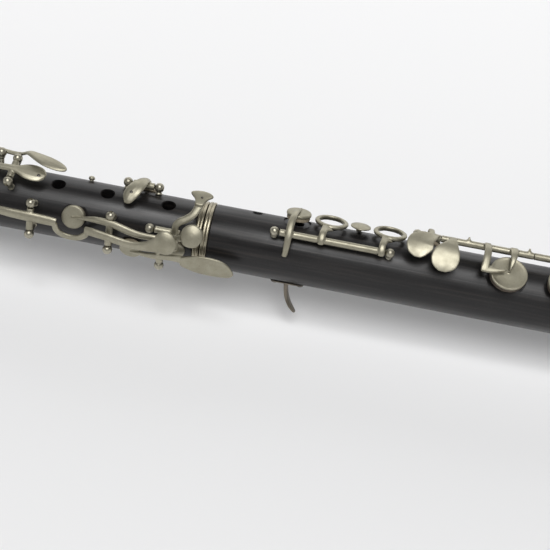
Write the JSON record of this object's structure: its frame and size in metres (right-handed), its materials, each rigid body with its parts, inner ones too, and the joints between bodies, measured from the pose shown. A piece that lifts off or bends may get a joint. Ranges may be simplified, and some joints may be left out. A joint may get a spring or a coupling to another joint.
{
  "type": "oboe",
  "caption": "Simple-system oboe in blackwood with nickel silver keys: two keyed joints, a flared bell and a double reed, lying on its side.",
  "frame": {"origin": "centre of the whole instrument's box, on the axis of the bore", "axes": "+X along the bore towards the bell, +Z the way the upper joint's finger holes face, -Y towards the side keys"},
  "size_m": [0.635, 0.0584, 0.0584],
  "materials": {
    "blackwood": "oiled, satin, near black",
    "nickel_silver": "aged polished nickel silver",
    "ferrule_silver": "turned and polished nickel silver",
    "post_silver": "aged nickel silver",
    "rest_metal": "darkened nickel silver",
    "steel": "worn steel",
    "pad_skin": "matt skin",
    "cork": "matt cork",
    "cane": "satin dry cane",
    "thread": "waxed thread",
    "brass": "satin brass"
  },
  "bodies": {
    "lower": {"lower_joint": "blackwood", "lower_ferrule": "ferrule_silver", "bell_tenon_cork": "cork", "thumb_rest": "rest_metal", "thumb_rest_screw_front": "steel", "thumb_rest_screw_back": "steel", "ring_posts": "post_silver", "button_posts": "post_silver", "foot_posts": "post_silver"},
    "upper": {"upper_joint": "blackwood", "upper_ferrule": "ferrule_silver", "middle_tenon_cork": "cork", "top_ring": "ferrule_silver", "short_side_posts": "post_silver", "long_side_posts": "post_silver", "fan_posts": "post_silver", "spoon_posts": "post_silver", "leaf_posts": "post_silver", "upper_touch_posts": "post_silver", "lower_touch_posts": "post_silver", "octave_posts": "post_silver", "guide_pin": "post_silver"},
    "bell_section": {"bell": "blackwood", "bell_socket_ring": "ferrule_silver", "bell_rim_ring": "ferrule_silver"},
    "reed": {"staple": "brass", "staple_cork": "cork", "reed_thread": "thread", "reed_blade_upper": "cane", "reed_blade_lower": "cane"},
    "short_side": {"short_side_key": "nickel_silver", "short_side_pad": "pad_skin"},
    "long_side": {"long_side_key": "nickel_silver", "long_side_pad": "pad_skin"},
    "fan": {"fan_key": "nickel_silver", "fan_pad": "pad_skin"},
    "spoon": {"spoon_key": "nickel_silver", "spoon_pad": "pad_skin"},
    "leaf": {"leaf_key": "nickel_silver", "leaf_pad": "pad_skin"},
    "upper_touch": {"upper_touch_key": "nickel_silver", "upper_touch_pad": "pad_skin"},
    "lower_touch": {"lower_touch_key": "nickel_silver", "lower_touch_pad": "pad_skin"},
    "octave": {"octave_key": "nickel_silver", "octave_pad": "pad_skin"},
    "ring": {"ring_key": "nickel_silver", "ring_pad": "pad_skin"},
    "button": {"button_key": "nickel_silver", "button_pad": "pad_skin"},
    "e_flat": {"e_flat_key": "nickel_silver", "e_flat_pad": "pad_skin"},
    "low_c_lever": {"low_c_lever": "nickel_silver"},
    "low_c_cup": {"low_c_key": "nickel_silver", "low_c_pad": "pad_skin"},
    "low_b": {"low_b_key": "nickel_silver", "low_b_pad": "pad_skin"}
  },
  "joints": [
    {"name": "upper_twist", "type": "hinge", "parent": "lower", "child": "upper", "pos_m": [-0.0375, 0, 0], "axis": [1, 0, 0], "range_deg": [-25, 25]},
    {"name": "bell_twist", "type": "hinge", "parent": "lower", "child": "bell_section", "pos_m": [0.2025, 0, 0], "axis": [1, 0, 0], "range_deg": [-45, 45]},
    {"name": "reed_pull", "type": "slide", "parent": "upper", "child": "reed", "axis": [-1, 0, 0], "range_m": [0, 0.02]},
    {"name": "short_side_press", "type": "hinge", "parent": "upper", "child": "short_side", "pos_m": [-0.0704, -0.01475, 0.00666], "axis": [0, 0.4115, 0.9114], "range_deg": [0, 2.5], "stiffness_Nm_per_rad": 0.03, "springref_deg": -20.05},
    {"name": "long_side_press", "type": "hinge", "parent": "upper", "child": "long_side", "pos_m": [-0.0999, -0.01504, 0.00649], "axis": [0, 0.3963, 0.9181], "range_deg": [0, 2], "stiffness_Nm_per_rad": 0.03, "springref_deg": -20.05},
    {"name": "spoon_press", "type": "hinge", "parent": "upper", "child": "spoon", "pos_m": [-0.0515, -0.01508, 0.00013], "axis": [0, 0.0087, 1], "range_deg": [0, 6], "stiffness_Nm_per_rad": 0.03, "springref_deg": -20.05},
    {"name": "lower_touch_press", "type": "hinge", "parent": "upper", "child": "lower_touch", "pos_m": [-0.1099, -0.00179, 0.01633], "axis": [0, 0.9941, 0.1089], "range_deg": [0, 6], "stiffness_Nm_per_rad": 0.03, "springref_deg": -20.05},
    {"name": "octave_press", "type": "hinge", "parent": "upper", "child": "octave", "pos_m": [-0.1655, 0, -0.01409], "axis": [0, -1, 0], "range_deg": [0, 7], "stiffness_Nm_per_rad": 0.03, "springref_deg": -20.05},
    {"name": "fan_press", "type": "hinge", "parent": "upper", "child": "fan", "pos_m": [-0.0495, -0.01156, 0.00987], "axis": [-1, 0, 0], "range_deg": [0, 6], "stiffness_Nm_per_rad": 0.03, "springref_deg": -20.05},
    {"name": "leaf_press", "type": "hinge", "parent": "upper", "child": "leaf", "pos_m": [-0.0629, 0.0072, 0.01247], "axis": [1, 0, 0], "range_deg": [0, 8], "stiffness_Nm_per_rad": 0.03, "springref_deg": -20.05},
    {"name": "upper_touch_press", "type": "hinge", "parent": "upper", "child": "upper_touch", "pos_m": [-0.1255, 0.00553, 0.01702], "axis": [1, 0, 0], "range_deg": [0, 9], "stiffness_Nm_per_rad": 0.03, "springref_deg": -20.05},
    {"name": "ring_press", "type": "hinge", "parent": "lower", "child": "ring", "pos_m": [0.0101, -0.00563, 0.01444], "axis": [-1, 0, 0], "range_deg": [0, 4.5], "stiffness_Nm_per_rad": 0.03, "springref_deg": -20.05},
    {"name": "button_press", "type": "hinge", "parent": "lower", "child": "button", "pos_m": [0.0197, 0.01544, -0.00135], "axis": [1, 0, 0], "range_deg": [0, 3], "stiffness_Nm_per_rad": 0.03, "springref_deg": -20.05},
    {"name": "e_flat_press", "type": "hinge", "parent": "lower", "child": "e_flat", "pos_m": [0.0457, 0.00497, 0.01626], "axis": [1, 0, 0], "range_deg": [0, 7], "stiffness_Nm_per_rad": 0.03, "springref_deg": -20.05},
    {"name": "low_c_lever_press", "type": "hinge", "parent": "lower", "child": "low_c_lever", "pos_m": [0.0585, 0.00497, 0.01626], "axis": [1, 0, 0], "range_deg": [0, 7], "stiffness_Nm_per_rad": 0.03, "springref_deg": -20.05},
    {"name": "low_c_cup_press", "type": "hinge", "parent": "lower", "child": "low_c_cup", "pos_m": [0.0755, 0.00497, 0.01626], "axis": [1, 0, 0], "range_deg": [0, 7], "stiffness_Nm_per_rad": 0.03, "springref_deg": -20.05},
    {"name": "low_b_press", "type": "hinge", "parent": "lower", "child": "low_b", "pos_m": [0.0965, 0.00497, 0.01626], "axis": [1, 0, 0], "range_deg": [0, 7], "stiffness_Nm_per_rad": 0.03, "springref_deg": -20.05}
  ],
  "couplings": [
    {"joint": "low_c_cup_press", "follows": "low_c_lever_press", "ratio": 1}
  ]
}
